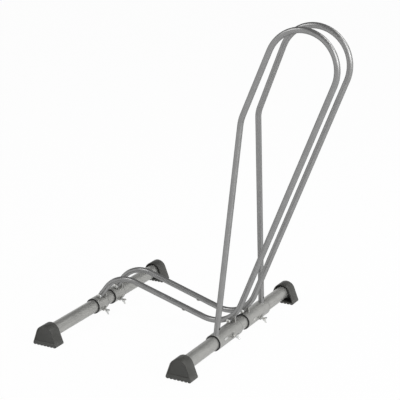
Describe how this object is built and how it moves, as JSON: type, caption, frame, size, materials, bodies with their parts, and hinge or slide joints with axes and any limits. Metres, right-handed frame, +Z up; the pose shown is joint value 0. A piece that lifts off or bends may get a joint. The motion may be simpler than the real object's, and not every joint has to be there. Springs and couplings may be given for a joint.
{
  "type": "floor bike rack",
  "caption": "Floor stand that holds a bicycle wheel upright between two bent tube hoops, which slide on two footed base tubes to suit the tyre.",
  "frame": {"origin": "bottom centre of the overall box, on the floor", "axes": "+Z up; +X from the low arches towards the leaning hoops, across both base tubes; +Y along the base tubes, away from the side shown in the picture; Y = 0 is the middle of the base tubes, and the wheel plane is at Y = 6 mm at rest"},
  "size_m": [0.5848, 0.47, 0.6559],
  "materials": {
    "base_steel": "satin warm grey powder coat",
    "hoop_steel": "satin mid grey metallic powder coat",
    "foot_plastic": "matt charcoal moulded plastic",
    "bush_plastic": "black moulded plastic",
    "zinc_fasteners": "bright zinc plate",
    "black_screws": "black oxide",
    "wing_screw_zinc": "pale zinc plate"
  },
  "bodies": {
    "rear_base": {"rear_base_tube": "base_steel", "rear_near_foot": "foot_plastic", "rear_far_foot": "foot_plastic"},
    "front_base": {"front_base_tube": "base_steel", "front_near_foot": "foot_plastic", "front_far_foot": "foot_plastic"},
    "near_frame": {"near_hoop": "hoop_steel", "near_arch_rail": "hoop_steel", "near_rear_sleeve": "base_steel", "near_front_sleeve": "base_steel", "near_bushes": "bush_plastic", "near_frame_bolts": "zinc_fasteners", "near_frame_nuts": "zinc_fasteners", "near_rail_screw": "zinc_fasteners", "near_leg_screw": "black_screws", "near_bush_key": "zinc_fasteners", "near_weld_nuts": "base_steel"},
    "near_rear_screw": {"near_rear_wing_screw": "wing_screw_zinc"},
    "near_front_screw": {"near_front_wing_screw": "wing_screw_zinc"},
    "far_frame": {"far_hoop": "hoop_steel", "far_arch_rail": "hoop_steel", "far_rear_sleeve": "base_steel", "far_front_sleeve": "base_steel", "far_bushes": "bush_plastic", "far_frame_bolts": "zinc_fasteners", "far_frame_nuts": "zinc_fasteners", "far_rail_screw": "zinc_fasteners", "far_leg_screw": "black_screws", "far_bush_key": "zinc_fasteners", "far_weld_nuts": "base_steel"},
    "far_rear_screw": {"far_rear_wing_screw": "wing_screw_zinc"},
    "far_front_screw": {"far_front_wing_screw": "wing_screw_zinc"}
  },
  "joints": [
    {"name": "near_frame_slide", "type": "slide", "parent": "rear_base", "child": "near_frame", "axis": [0, -1, 0], "range_m": [-0.012, 0.1]},
    {"name": "far_frame_slide", "type": "slide", "parent": "rear_base", "child": "far_frame", "axis": [0, 1, 0], "range_m": [-0.012, 0.085]},
    {"name": "front_base_slide", "type": "slide", "parent": "near_frame", "child": "front_base", "axis": [0, 1, 0], "range_m": [-0.012, 0.1]},
    {"name": "near_rear_screw_turn", "type": "hinge", "parent": "near_frame", "child": "near_rear_screw", "pos_m": [0.08981, -0.0464, 0.02505], "axis": [0.9994, 0, 0.0349], "range_deg": [-720, 720]},
    {"name": "near_front_screw_turn", "type": "hinge", "parent": "near_frame", "child": "near_front_screw", "pos_m": [-0.2382, -0.0264, 0.009], "axis": [0.866, 0, -0.5], "range_deg": [-720, 720]},
    {"name": "far_rear_screw_turn", "type": "hinge", "parent": "far_frame", "child": "far_rear_screw", "pos_m": [0.08836, 0.0772, 0.01473], "axis": [0.9511, 0, -0.309], "range_deg": [-720, 720]},
    {"name": "far_front_screw_turn", "type": "hinge", "parent": "far_frame", "child": "far_front_screw", "pos_m": [-0.23721, 0.0372, 0.01085], "axis": [0.8988, 0, -0.4384], "range_deg": [-720, 720]}
  ],
  "couplings": [
    {"joint": "front_base_slide", "follows": "near_frame_slide", "ratio": 1}
  ]
}
